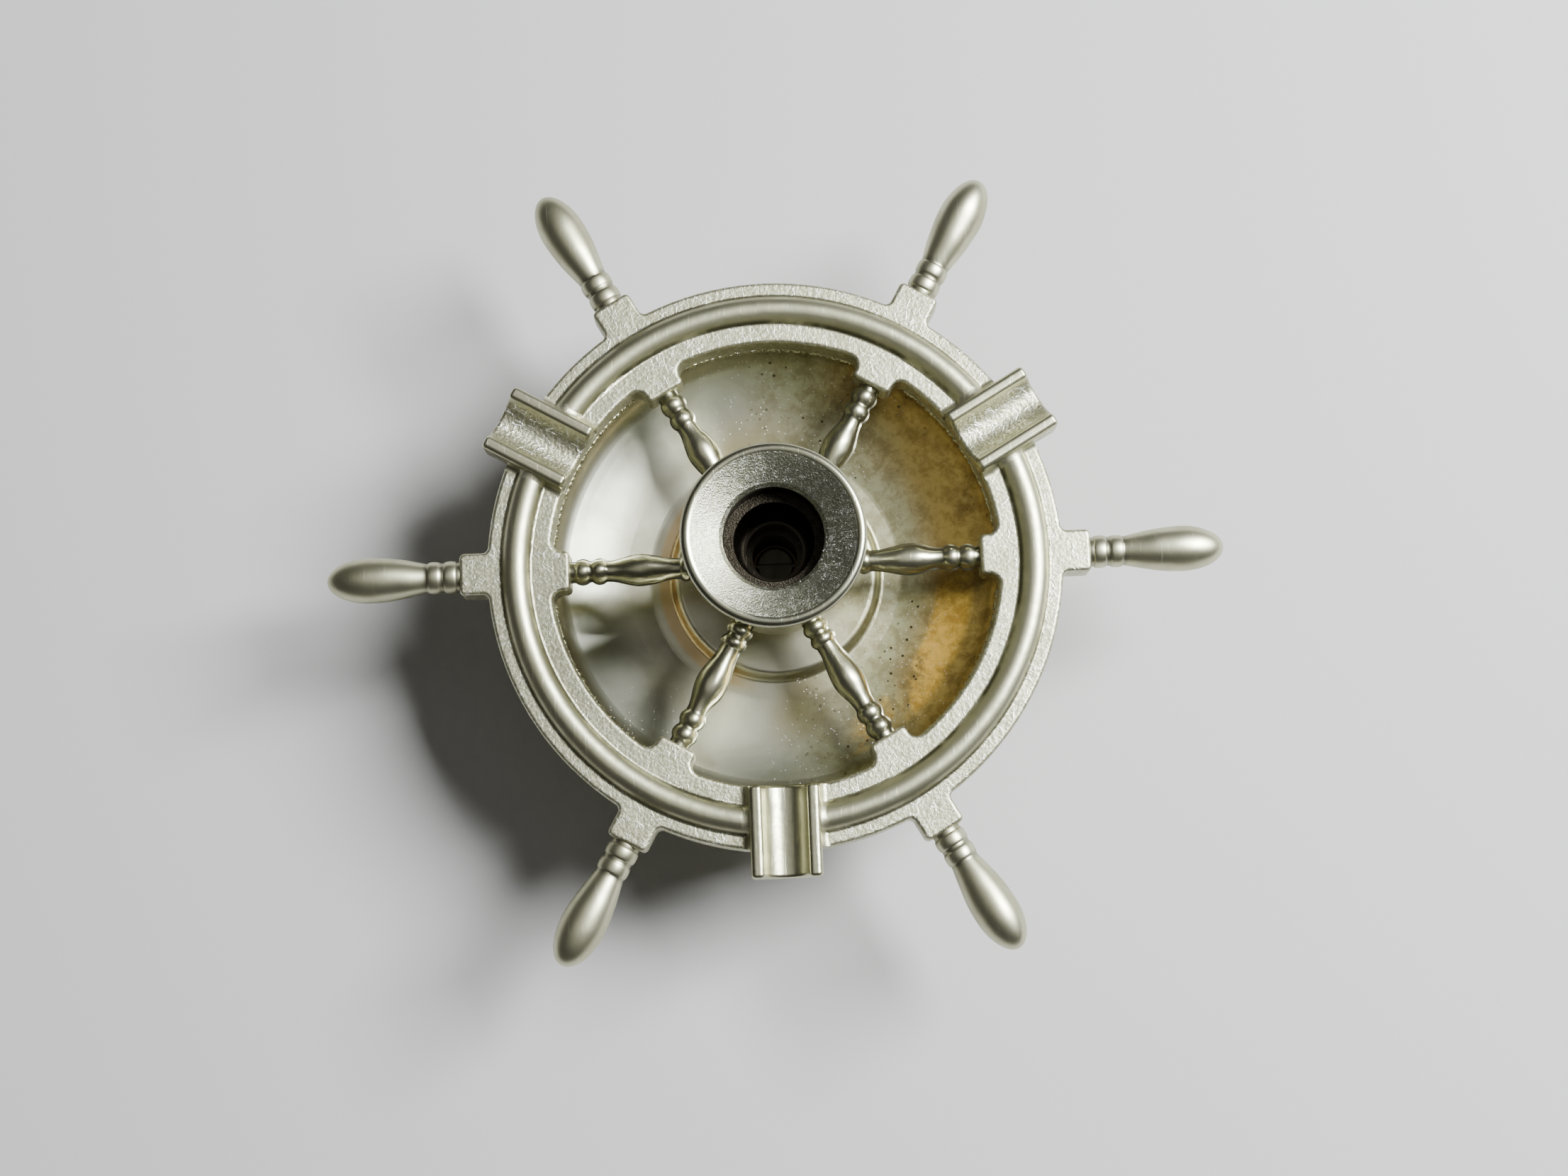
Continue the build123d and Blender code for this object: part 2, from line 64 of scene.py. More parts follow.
# The rim's bands and ridge, the rests across it and how many spokes meet it.
RIM_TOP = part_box("felt_pad")[0].z + 52 * MM
RIM_THICKNESS = 8.5
RIM_INSIDE = 57.5
RIDGE_INNER, RIDGE_CREST, RIDGE_OUTER = 62.6, 66.4, 69.8
RIDGE_HEIGHT = 2.8
REST_ANGLES = (30, 150, 270)
REST_HALF_WIDTH, REST_WALL_HEIGHT, REST_WALL_ROUND = 9.0, 4.3, 1.4
SPOKE_COUNT = sum(name.startswith("spoke_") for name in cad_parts)

# Where the hub and the wheel's middle plane stand.
WHEEL_AXIS = (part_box("handle_1")[0].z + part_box("handle_1")[1].z) / 2
HUB_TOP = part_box("hub_cup")[1].z


# ---------------------------------------------------------------- properties

class WheelTraySizes(PropertyGroup):
    seam_width: FloatProperty(
        name="Seam ledge", description="How far a spoke's lower half stands out at its seam",
        default=0.5 * MM, unit="LENGTH", precision=5,
    )
    grain_size: FloatProperty(
        name="Casting grain", description="Size of the sand grain left on cast faces",
        default=1.0 * MM, unit="LENGTH", precision=5,
    )
    fillet_leg: FloatProperty(
        name="Fillet leg", description="Width of the smooth fillets beside the rests",
        default=2.0 * MM, unit="LENGTH", precision=5,
    )


class WheelTrayColours(PropertyGroup):
    brass: FloatVectorProperty(
        name="Brass", description="Clean pale brass", subtype="COLOR", size=3,
        default=(0.57, 0.56, 0.395),
    )
    dull_brass: FloatVectorProperty(
        name="Dull brass", description="Brass dulled by handling", subtype="COLOR", size=3,
        default=(0.34, 0.335, 0.205),
    )
    # Near-white brass for grain tops and crackle: partly rubbed wear, partly painted glint.
    rubbed_brass_and_glint: FloatVectorProperty(
        name="Bright grain", description="Rubbed high points and crackle of the cast skin, partly painted glint",
        subtype="COLOR", size=3, default=(0.93, 0.93, 0.88),
    )
    # Painted shade: darker brass laid in the low points of the cast grain.
    pit_shade_brass: FloatVectorProperty(
        name="Pit shade", description="Painted shade in the pits of the cast skin", subtype="COLOR", size=3,
        default=(0.16, 0.155, 0.09),
    )
    # Near-black used for real patina in grooves and for painted shade in the throat and at the
    # ridge feet.
    patina_and_shade: FloatVectorProperty(
        name="Patina and shade", description="Dark patina in grooves, and painted shade down the throat and at the ridge feet",
        subtype="COLOR", size=3, default=(0.030, 0.026, 0.019),
    )
    silvery: FloatVectorProperty(
        name="Silvery brass", description="Silvery bowl brass where neither tarnish nor painted shade is laid", subtype="COLOR", size=3,
        default=(0.54, 0.545, 0.45),
    )
    olive: FloatVectorProperty(
        name="Olive tarnish", description="First tarnish and painted shade inside the bowl", subtype="COLOR",
        size=3, default=(0.36, 0.355, 0.23),
    )
    # Painted reflection colour for the arc near the front of the bowl.
    golden_reflection: FloatVectorProperty(
        name="Golden reflection", description="Painted reflection arc in the bowl's tarnish", subtype="COLOR",
        size=3, default=(0.78, 0.50, 0.13),
    )
    amber: FloatVectorProperty(
        name="Amber tarnish", description="Warm tarnish and painted shade inside the bowl", subtype="COLOR",
        size=3, default=(0.42, 0.30, 0.11),
    )
    brown: FloatVectorProperty(
        name="Brown tarnish", description="Deep tarnish and painted shade inside the bowl", subtype="COLOR",
        size=3, default=(0.13, 0.085, 0.035),
    )
    felt: FloatVectorProperty(
        name="Felt", description="Pad under the foot", subtype="COLOR", size=3,
        default=(0.03, 0.09, 0.05),
    )
    floor: FloatVectorProperty(
        name="Floor", description="Plain stage floor", subtype="COLOR", size=3,
        default=(0.47, 0.465, 0.455),
    )


def sizes():
    """The sizes set for this scene."""
    return bpy.context.scene.wheel_tray_sizes


def colours():
    """The colours set for this scene."""
    return bpy.context.scene.wheel_tray_colours


# ---------------------------------------------------------------- outlines

def bead(start, length, root, crown, steps=9):
    """One turned bead as (along, radius, recess) points."""
    points = []
    for step in range(steps + 1):
        share = step / steps
        lift = sin(pi * share) ** 0.75
        points.append((start + length * share, root + (crown - root) * lift, 1 - lift))
    return points


def collar(start, length, root, crown, steps=12):
    """A turned collar with a broad, gently rounded face between two fine grooves."""
    points = []
    for step in range(steps + 1):
        share = step / steps
        lift = sin(pi * share) ** 0.42
        points.append((start + length * share, root + (crown - root) * lift, 1 - lift))
    return points


def swell(start, end, first, belly, last, share, steps=22):
    """A barrel or flare between two radii, fullest at a share of its length."""
    points = []
    for step in range(steps + 1):
        place = step / steps
        if place < share:
            blend = 0.5 - 0.5 * cos(pi * place / share)
            radius = first + (belly - first) * blend
        else:
            blend = 0.5 - 0.5 * cos(pi * (place - share) / (1 - share))
            radius = belly + (last - belly) * blend
        edge = max(0, 1 - min(place, 1 - place) * 14)
        points.append((start + (end - start) * place, radius, 0.7 * edge))
    return points


# ---------------------------------------------------------------- mesh helpers

def spin_outline(bm, outline, steps):
    """Spins (along, radius, recess) points in millimetres about local Z, in metres."""
    recess = bm.verts.layers.float.get("recess") or bm.verts.layers.float.new("recess")
    verts = []
    for point in outline:
        vert = bm.verts.new((point[1] * MM, 0, point[0] * MM))
        vert[recess] = point[2] if len(point) > 2 else 0
        verts.append(vert)
    edges = [bm.edges.new(pair) for pair in zip(verts, verts[1:])]
    bmesh.ops.spin(
        bm, geom=verts + edges, cent=(0, 0, 0), axis=(0, 0, 1), angle=2 * pi,
        steps=steps, use_merge=True,
    )
    bmesh.ops.remove_doubles(bm, verts=bm.verts, dist=0.002 * MM)


def finish_piece(bm, name, material, body, nodes, smooth_angle=40):
    """Turns a bmesh into a piece that rides on a body in place of its CAD nodes."""
    mesh = bpy.data.meshes.new(name)
    bm.to_mesh(mesh)
    bm.free()
    mesh.polygons.foreach_set("use_smooth", [True] * len(mesh.polygons))
    mesh.set_sharp_from_angle(angle=radians(smooth_angle))
    piece = bpy.data.objects.new(name, mesh)
    bpy.context.scene.collection.objects.link(piece)
    piece.data.materials.append(material)
    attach(piece, body)
    if nodes:
        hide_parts(*nodes)
    return piece


def skin_rows(bm, rows):
    """Closes a strip over its cross-sections, each a ring of the same many vertices."""
    for first, second in zip(rows, rows[1:]):
        for index in range(len(first)):
            after = (index + 1) % len(first)
            bm.faces.new((first[index], first[after], second[after], second[index]))
    bm.faces.new(rows[0])
    bm.faces.new(list(reversed(rows[-1])))
    bmesh.ops.recalc_face_normals(bm, faces=bm.faces)


def outward(angle):
    """Places local Z along a radius of the wheel and local X straight up."""
    turn = radians(angle)
    along = Vector((cos(turn), sin(turn), 0))
    up = Vector((0, 0, 1))
    side = along.cross(up)
    matrix = Matrix((up, side, along)).transposed().to_4x4()
    matrix.translation = (0, 0, WHEEL_AXIS)
    return matrix


def hand_finish(bm, depth, size, seed):
    """Moves the surface a little in and out, as filing and polishing leave it."""
    bm.normal_update()
    offset = Vector((seed * 3.7, seed * 1.3, seed * 2.1))
    for vert in bm.verts:
        vert.co += vert.normal * depth * noise.noise(vert.co / size + offset)


# ---------------------------------------------------------------- shader helpers

def group_tree(name, inputs, outputs):
    """A new shader node group with its sockets made."""
    tree = bpy.data.node_groups.new(name, "ShaderNodeTree")
    for label, kind, default in inputs:
        socket = tree.interface.new_socket(name=label, in_out="INPUT", socket_type=kind)
        socket.default_value = default
    for label, kind in outputs:
        tree.interface.new_socket(name=label, in_out="OUTPUT", socket_type=kind)
    return tree


def add_node(tree, kind, values=None, links=None, **settings):
    """Adds a node, sets its settings and input values, and links inputs to sockets."""
    node = tree.nodes.new("ShaderNode" + kind)
    for key, value in settings.items():
        setattr(node, key, value)
    for key, value in (values or {}).items():
        node.inputs[key].default_value = value
    for key, socket in (links or {}).items():
        tree.links.new(socket, node.inputs[key])
    return node


def maths(tree, operation, first, second=None, clamp=False):
    """One Math node; numbers become values and sockets become links."""
    node = tree.nodes.new("ShaderNodeMath")
    node.operation = operation
    node.use_clamp = clamp
    for index, term in enumerate((first, second)):
        if term is None:
            continue
        if isinstance(term, (int, float)):
            node.inputs[index].default_value = term
        else:
            tree.links.new(term, node.inputs[index])
    return node.outputs[0]


def times(tree, first, *others):
    """The product of masks and numbers, taken from left to right."""
    for other in others:
        first = maths(tree, "MULTIPLY", first, other)
    return first


def remap(tree, value, low, high, to_low=0.0, to_high=1.0):
    """An eased ramp between two values, each end held flat beyond it."""
    node = add_node(
        tree, "MapRange", interpolation_type="SMOOTHSTEP", links={"Value": value},
        values={"From Min": low, "From Max": high, "To Min": to_low, "To Max": to_high},
    )
    return node.outputs[0]


def between(tree, value, start, full, fading, end):
    """A mask that rises from start to full and falls from fading to end."""
    return times(tree, remap(tree, value, start, full), remap(tree, value, fading, end, 1.0, 0.0))


def object_place(tree):
    """The place on the object, in metres from the frame's origin."""
    return add_node(tree, "TexCoord").outputs["Object"]


def noise_at(tree, place, scale, **values):
    """Noise of a scale, given as a number or as a socket, at a place."""
    links = {"Vector": place}
    if isinstance(scale, bpy.types.NodeSocket):
        links["Scale"] = scale
    else:
        values["Scale"] = scale
    return add_node(tree, "TexNoise", links=links, values=values).outputs[0]


def speckle(tree, place, scale, full, end):
    """Scattered round specks, solid out to one size and gone at the next."""
    cells = add_node(
        tree, "TexVoronoi", links={"Vector": place}, values={"Scale": scale, "Randomness": 1.0},
    ).outputs[0]
    return remap(tree, cells, full, end, 1.0, 0.0)


def mix_colour(tree, factor, first, second):
    """Mixes from the first colour to the second; each is a socket or an RGB triple."""
    node = add_node(tree, "Mix", data_type="RGBA", blend_type="MIX")
    for socket, term in ((node.inputs[0], factor), (node.inputs[6], first),
                         (node.inputs[7], second)):
        if isinstance(term, bpy.types.NodeSocket):
            tree.links.new(term, socket)
        elif isinstance(term, (int, float)):
            socket.default_value = term
        else:
            socket.default_value = (*term, 1)
    return node.outputs[2]


def cast_grain_group():
    """Sand-cast skin: granular height, bright grain tops, and crackle along the radii."""
    tree = group_tree(
        "Cast grain",
        [("Size", "NodeSocketFloat", 0.0009)],
        [("Height", "NodeSocketFloat"), ("Tops", "NodeSocketFloat"),
         ("Crackle", "NodeSocketFloat")],
    )
    entry = tree.nodes.new("NodeGroupInput")
    leave = tree.nodes.new("NodeGroupOutput")
    place = object_place(tree)
    scale = maths(tree, "DIVIDE", 1.0, entry.outputs["Size"])
    grains = noise_at(tree, place, scale, Detail=4.0, Roughness=0.72)
    pits = add_node(
        tree, "TexVoronoi", feature="SMOOTH_F1", values={"Smoothness": 0.4},
        links={"Vector": place, "Scale": times(tree, scale, 1.1)},
    ).outputs[0]
    polar = polar_place(tree)
    cells = add_node(
        tree, "TexVoronoi", feature="DISTANCE_TO_EDGE", values={"Randomness": 0.9},
        links={"Vector": polar, "Scale": times(tree, scale, 0.5)},
    ).outputs[0]
    broken = noise_at(tree, place, times(tree, scale, 0.35), Detail=2.0)
    crackle = times(tree, remap(tree, cells, 0.02, 0.07, 1.0, 0.0), remap(tree, broken, 0.52, 0.62))
    stretch = add_node(
        tree, "Mapping", links={"Vector": polar}, values={"Scale": (260.0, 2400.0, 900.0)},
    ).outputs[0]
    nicks = noise_at(tree, stretch, 1.0, Detail=1.0)
    nicks = times(tree, remap(tree, nicks, 0.66, 0.74), remap(tree, broken, 0.62, 0.50))
    crackle = maths(tree, "MAXIMUM", crackle, nicks)
    height = maths(tree, "ADD", times(tree, grains, 1.2), times(tree, pits, -0.5))
    height = maths(tree, "ADD", height, times(tree, crackle, 0.3))
    tree.links.new(height, leave.inputs["Height"])
    tree.links.new(remap(tree, grains, 0.48, 0.62), leave.inputs["Tops"])
    tree.links.new(crackle, leave.inputs["Crackle"])
    return tree


def polar_place(tree):
    """Radius, arc length at the rim and height, so that patterns follow the wheel."""
    ridge_radius = 66 * MM
    radius, split = radius_from_axis(tree)
    turn = maths(tree, "ARCTAN2", split.outputs[1], split.outputs[0])
    return add_node(tree, "CombineXYZ", links={
        "X": times(tree, radius, 0.7),
        "Y": times(tree, turn, ridge_radius),
        "Z": split.outputs[2],
    }).outputs[0]


def handling_group():
    """Blotches of dulled metal, fine scratches and gentle waviness of worked metal."""
    tree = group_tree(
        "Handling",
        [("Blotch size", "NodeSocketFloat", 0.012), ("Wave size", "NodeSocketFloat", 0.006)],
        [("Blotches", "NodeSocketFloat"), ("Scratches", "NodeSocketFloat"),
         ("Waves", "NodeSocketFloat")],
    )
    entry = tree.nodes.new("NodeGroupInput")
    leave = tree.nodes.new("NodeGroupOutput")
    place = object_place(tree)
    blotch_scale = maths(tree, "DIVIDE", 1.0, entry.outputs["Blotch size"])
    blotches = noise_at(tree, place, blotch_scale, Detail=5.0, Roughness=0.6, Distortion=0.4)
    wave_scale = maths(tree, "DIVIDE", 1.0, entry.outputs["Wave size"])
    waves = noise_at(tree, place, wave_scale, Detail=2.0, Roughness=0.4)
    scratches = None
    for turn, stretch in ((0.4, 260.0), (1.3, 200.0), (2.3, 320.0)):
        turned = add_node(
            tree, "Mapping", links={"Vector": place},
            values={"Rotation": (0.2, 0.3, turn), "Scale": (stretch * 14, stretch * 0.35, stretch)},
        ).outputs[0]
        lines = noise_at(tree, turned, 1.0, Detail=1.0, Distortion=0.6)
        mask = remap(tree, lines, 0.70, 0.78)
        scratches = mask if scratches is None else maths(tree, "MAXIMUM", scratches, mask)
    tree.links.new(remap(tree, blotches, 0.38, 0.66), leave.inputs["Blotches"])
    tree.links.new(scratches, leave.inputs["Scratches"])
    tree.links.new(waves, leave.inputs["Waves"])
    return tree


def shared_group(name):
    """A shader group that is built once and then used by every material."""
    makers = {"Cast grain": cast_grain_group, "Handling": handling_group}
    return bpy.data.node_groups.get(name) or makers[name]()


def place_group(tree, name, **values):
    """Puts a shared group in a material with its own input values."""
    node = tree.nodes.new("ShaderNodeGroup")
    node.node_tree = shared_group(name)
    for key, value in values.items():
        node.inputs[key.replace("_", " ")].default_value = value
    return node


def blank_metal(name):
    """A material with a metallic Principled shader and nothing else."""
    material = bpy.data.materials.new(name)
    material.use_nodes = True
    tree = material.node_tree
    shader = tree.nodes["Principled BSDF"]
    shader.inputs["Metallic"].default_value = 1.0
    return material, tree, shader


def radius_from_axis(tree):
    """Distance from the wheel's axis, and the node that splits the place into X, Y and Z."""
    split = add_node(tree, "SeparateXYZ", links={"Vector": object_place(tree)})
    flat = add_node(tree, "CombineXYZ", links={"X": split.outputs[0], "Y": split.outputs[1]})
    length = add_node(tree, "VectorMath", operation="LENGTH", links={0: flat.outputs[0]})
    return length.outputs["Value"], split


def relief(tree, height, depth, normal=None, strength=1.0, invert=False):
    """Fine relief of a depth in millimetres, laid over an earlier normal if one is given."""
    links = {"Height": height}
    if normal is not None:
        links["Normal"] = normal
    return add_node(
        tree, "Bump", invert=invert, values={"Strength": strength, "Distance": depth * MM},
        links=links,
    ).outputs[0]


def worked_brass(name, grain, polish, depth=0.15, recess=None, wave=0.05, tint=None,
                 size=None, crackle=1.0):
    """Pale brass with wear, with painted glints on its grain tops and crackle and painted shade in
    its grain pits.

    grain says where cast skin is and recess where the dark colour goes, real patina in grooves
    and painted shade in the throat and at the ridge feet: each is a number or a function that
    makes a mask. depth and wave are in millimetres.
    """
    material, tree, shader = blank_metal(name)
    grain = grain(tree) if callable(grain) else grain
    recess = recess(tree) if callable(recess) else recess
    handling = place_group(tree, "Handling", Blotch_size=0.011, Wave_size=0.005)
    skin = place_group(tree, "Cast grain", Size=size or sizes().grain_size)
    tops, blotches = skin.outputs["Tops"], handling.outputs["Blotches"]
    scratches = handling.outputs["Scratches"]
    tone = mix_colour(
        tree, times(tree, blotches, 0.5), tint or colours().brass, colours().dull_brass,
    )
    # Painted shade in the grain pits: the low points are mixed toward dark brass.
    pits = times(tree, maths(tree, "SUBTRACT", 1.0, tops), grain)
    tone = mix_colour(tree, times(tree, pits, 0.26), tone, colours().pit_shade_brass)
    # Painted glint, partly rubbed wear: grain tops and crackle are mixed toward near-white brass.
    wear_and_glint = maths(tree, "MAXIMUM", times(tree, skin.outputs["Crackle"], crackle),
                  times(tree, tops, 0.2))
    tone = mix_colour(tree, times(tree, wear_and_glint, grain), tone, colours().rubbed_brass_and_glint)
    if recess is not None:
        tone = mix_colour(tree, recess, tone, colours().patina_and_shade)
    tree.links.new(tone, shader.inputs["Base Color"])
    rough = polish
    for mask, share in ((grain, 0.05), (blotches, 0.05), (scratches, 0.08)):
        rough = maths(tree, "ADD", rough, times(tree, mask, share))
    tree.links.new(rough, shader.inputs["Roughness"])
    normal = relief(tree, handling.outputs["Waves"], wave)
    normal = relief(tree, scratches, 0.02, normal, strength=0.35, invert=True)
    normal = relief(tree, times(tree, skin.outputs["Height"], grain), depth, normal)
    tree.links.new(normal, shader.inputs["Normal"])
    return material


def groove_patina(strength):
    """Patina in a turned piece's grooves, read from the recess left on its mesh."""
    def make(tree):
        value = add_node(tree, "Attribute", attribute_name="recess").outputs["Fac"]
        return times(tree, value, strength)
    return make


def rim_grain(tree):
    """Cast skin on the rim's flat bands and very little on its ridge."""
    radius, _ = radius_from_axis(tree)
    inner = remap(tree, radius, (RIDGE_INNER - 1.4) * MM, (RIDGE_INNER + 0.8) * MM, 1.0, 0.0)
    outer = remap(tree, radius, (RIDGE_OUTER - 1.0) * MM, (RIDGE_OUTER + 0.4) * MM)
    return maths(tree, "ADD", maths(tree, "ADD", inner, outer), 0.06, clamp=True)


def ridge_foot_shade(tree):
    """Painted shade in a broken line along both feet of the ridge."""
    radius, _ = radius_from_axis(tree)
    inner = between(tree, radius, *((RIDGE_INNER + step) * MM for step in (-0.5, 0, 0.2, 1.0)))
    outer = between(tree, radius, *((RIDGE_OUTER + step) * MM for step in (-0.6, -0.1, 0.1, 0.5)))
    broken = noise_at(tree, object_place(tree), 90.0, Detail=3.0)
    line = maths(tree, "ADD", inner, times(tree, outer, 0.6))
    return times(tree, line, remap(tree, broken, 0.35, 0.55), 0.8)


def rest_grain(tree):
    """Cast skin in a rest's channel, polished off its wall tops."""
    _, split = radius_from_axis(tree)
    return remap(tree, split.outputs[2], RIM_TOP + 2.2 * MM, RIM_TOP + 3.6 * MM, 1.0, 0.1)


# ---------------------------------------------------------------- pieces

class WHEELTRAY_OT_rim(Operator):
    """Finishes the cast rim: grainy bands and a polished ridge"""
    bl_idname = "wheeltray.rim"
    bl_label = "Rim"

    def execute(self, context):
        # The ridge's feet get painted shade in the near-black colour.
        material = worked_brass("rim cast brass", rim_grain, 0.36, depth=0.10,
                                recess=ridge_foot_shade, wave=0.12, crackle=0.55)
        set_material("rim", material)
        return {"FINISHED"}


class WHEELTRAY_OT_rests(Operator):
    """Finishes the three cigarette rests"""
    bl_idname = "wheeltray.rests"
    bl_label = "Cigarette rests"

    def execute(self, context):
        grainy = worked_brass("rest cast brass", rest_grain, 0.32)
        polished = worked_brass("rest polished brass", 0.12, 0.27, wave=0.12)
        set_material("cigarette_rest_1", grainy)
        set_material("cigarette_rest_2", grainy)
        set_material("cigarette_rest_3", polished)
        return {"FINISHED"}


def set_material(node, material):
    """Gives a CAD node's object one material in its slots."""
    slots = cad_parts[node].material_slots
    for slot in slots:
        slot.material = material


class WHEELTRAY_OT_rim_flash(Operator):
    """Makes the ragged casting flash along the lower inner edge of the rim"""
    bl_idname = "wheeltray.rim_flash"
    bl_label = "Rim flash"

    def execute(self, context):
        material = worked_brass("flash brass", 0.5, 0.22, wave=0.2, size=0.6 * MM)
        share = 360 / SPOKE_COUNT
        for number in range(SPOKE_COUNT):
            make_flash(number, share * number, share, material)
        return {"FINISHED"}


def make_flash(number, angle, share, material):
    """A ragged bead under the rim between two of the inner blocks."""
    bottom = RIM_TOP / MM - RIM_THICKNESS + 0.02
    block_clearance = 6.6
    steps, fading_steps = 220, 8
    bm = bmesh.new()
    rows = []
    for step in range(steps + 1):
        turn = radians(angle + block_clearance + (share - 2 * block_clearance) * step / steps)
        arc = turn * RIM_INSIDE
        end = min(1, min(step, steps - step) / fading_steps)
        reach = (0.42 + 0.5 * noise.noise(Vector((arc / 0.9, number, 1)))
                 + 0.25 * noise.noise(Vector((arc / 0.35, number, 4))))
        reach = max(0.06, reach) * end + 0.03
        rise = (0.9 + 0.8 * noise.noise(Vector((arc / 1.4, number, 7)))) * end + 0.2
        row = []
        for along, up in ((0.3, 0), (-0.3 * reach, 0), (-reach, 0.25 * rise),
                          (-0.8 * reach, 0.6 * rise), (-0.25 * reach, 0.95 * rise), (0.3, rise)):
            radius = (RIM_INSIDE + along) * MM
            row.append(bm.verts.new((radius * cos(turn), radius * sin(turn), (bottom + up) * MM)))
        rows.append(row)
    skin_rows(bm, rows)
    finish_piece(bm, f"rim_flash_{number + 1}", material, "wheel", [])


class WHEELTRAY_OT_hub(Operator):
    """Finishes the hub's cup and barrel, with painted shade dark inside its throat"""
    bl_idname = "wheeltray.hub"
    bl_label = "Hub"

    def execute(self, context):
        # Cup and barrel both get painted shade down the throat.
        set_material("hub_cup", worked_brass(
            "hub cup brass", cup_grain, 0.26, recess=throat_shade, wave=0.05,
            tint=(0.42, 0.42, 0.32), size=0.5 * MM, depth=0.10, crackle=0.9,
        ))
        set_material("hub_barrel", worked_brass(
            "hub barrel brass", 0.3, 0.30, recess=throat_shade, wave=0.06,
        ))
        return {"FINISHED"}


def cup_grain(tree):
    """Cast skin in the funnel and none on the lip or the outside."""
    radius, split = radius_from_axis(tree)
    inside = remap(tree, radius, 19.9 * MM, 20.3 * MM, 1.0, 0.0)
    above = remap(tree, split.outputs[2], HUB_TOP - 14 * MM, HUB_TOP - 12 * MM)
    return times(tree, inside, above)


def throat_shade(tree):
    """Painted shade that deepens down the socket and the throat."""
    radius, split = radius_from_axis(tree)
    inside = remap(tree, radius, 12.4 * MM, 13.0 * MM, 1.0, 0.0)
    depth = remap(tree, split.outputs[2], HUB_TOP - 7.5 * MM, HUB_TOP - 4.5 * MM, 1.0, 0.0)
    return times(tree, inside, depth)


class WHEELTRAY_OT_pivot(Operator):
    """Finishes the centre post, its washer, sleeve and cap screw"""
    bl_idname = "wheeltray.pivot"
    bl_label = "Pivot"

    def execute(self, context):
        dark = worked_brass("tarnished machined brass", 0.0, 0.5, recess=0.85)
        set_material("cap_screw", dark)
        set_material("centre_post", worked_brass("machined brass", 0.0, 0.28, wave=0.01))
        bronze = worked_brass("bearing bronze", 0.0, 0.4, recess=0.8, wave=0.01,
                              tint=(0.45, 0.27, 0.13))
        set_material("pivot_sleeve", bronze)
        set_material("thrust_washer", bronze)
        return {"FINISHED"}


class WHEELTRAY_OT_bowl(Operator):
    """Finishes the spun bowl: silvery on one side, and on the other tarnished and darkened with
    painted shade
    """
    bl_idname = "wheeltray.bowl"
    bl_label = "Bowl"

    def execute(self, context):
        set_material("bowl", spun_brass())
        return {"FINISHED"}


def spun_brass():
    """Spun brass: silvery to -X; olive and brown to +X, part tarnish and part painted shade; a
    painted golden reflection.
    """
    material, tree, shader = blank_metal("spun bowl brass")
    handling = place_group(tree, "Handling", Blotch_size=0.016, Wave_size=0.012)
    radius, split = radius_from_axis(tree)
    place = object_place(tree)
    blotch = noise_at(tree, place, 55.0, Detail=7.0, Roughness=0.66, Distortion=0.6)
    cloud = noise_at(tree, place, 24.0, Detail=2.0, Roughness=0.5)
    mottle = noise_at(tree, place, 240.0, Detail=8.0, Roughness=0.75, Distortion=0.3)
    mottled = times(tree, remap(tree, mottle, 0.40, 0.62), 0.75)
    side = tarnish_and_shade_side(tree, split, cloud)
    # Olive, amber and brown toward +X: part tarnish, part painted shade on the side facing away
    # from the window.
    olive = remap(tree, side, -2 * MM, 22 * MM)
    tarnish_and_shade = times(tree, remap(tree, side, 22 * MM, 40 * MM),
                      remap(tree, radius, 34 * MM, 46 * MM))
    brown = times(tree, tarnish_and_shade, remap(tree, blotch, 0.46, 0.66, 0.0, 0.75))

    tone = mix_colour(tree, times(tree, handling.outputs["Blotches"], 0.6),
                      colours().silvery, (0.33, 0.33, 0.235))
    stained = times(tree, remap(tree, radius, 50 * MM, 36 * MM),
                    remap(tree, cloud, 0.44, 0.60, 0.25, 0.85))
    tone = mix_colour(tree, stained, tone, (0.34, 0.29, 0.15))
    tone = mix_colour(tree, olive, tone,
                      mix_colour(tree, mottled, colours().olive, (0.21, 0.185, 0.10)))
    tone = mix_colour(tree, tarnish_and_shade, tone,
                      mix_colour(tree, mottled, colours().amber, (0.20, 0.135, 0.055)))
    tone = mix_colour(tree, brown, tone, colours().brown)
    # Painted reflection: a golden arc near the front of the bowl.
    tone = mix_colour(tree, golden_reflection_band(tree, radius, split, side, blotch), tone,
                      mix_colour(tree, mottled, colours().golden_reflection, (0.40, 0.23, 0.05)))
    # Painted reflection: a warm band round the boss's edge on the silvery side.
    tone = mix_colour(tree, boss_edge_reflection(tree, radius, split), tone, (0.50, 0.32, 0.11))
    dark_specks = times(tree, speckle(tree, place, 420.0, 0.12, 0.20), olive,
                        remap(tree, blotch, 0.48, 0.56))
    tone = mix_colour(tree, dark_specks, tone, (0.05, 0.04, 0.025))
    dust = times(tree, speckle(tree, place, 800.0, 0.09, 0.15), remap(tree, cloud, 0.46, 0.56))
    tone = mix_colour(tree, times(tree, dust, 0.8), tone, (0.85, 0.85, 0.82))
    tree.links.new(tone, shader.inputs["Base Color"])

    rough = 0.33
    for mask, share in ((olive, 0.08), (brown, 0.12), (dust, 0.4)):
        rough = maths(tree, "ADD", rough, times(tree, mask, share))
    tree.links.new(rough, shader.inputs["Roughness"])
    rings = add_node(tree, "CombineXYZ", links={"X": radius}).outputs[0]
    normal = relief(tree, noise_at(tree, rings, 700.0, Detail=3.0), 0.008, strength=0.5)
    normal = relief(tree, handling.outputs["Waves"], 0.04, normal)
    tree.links.new(normal, shader.inputs["Normal"])
    return material


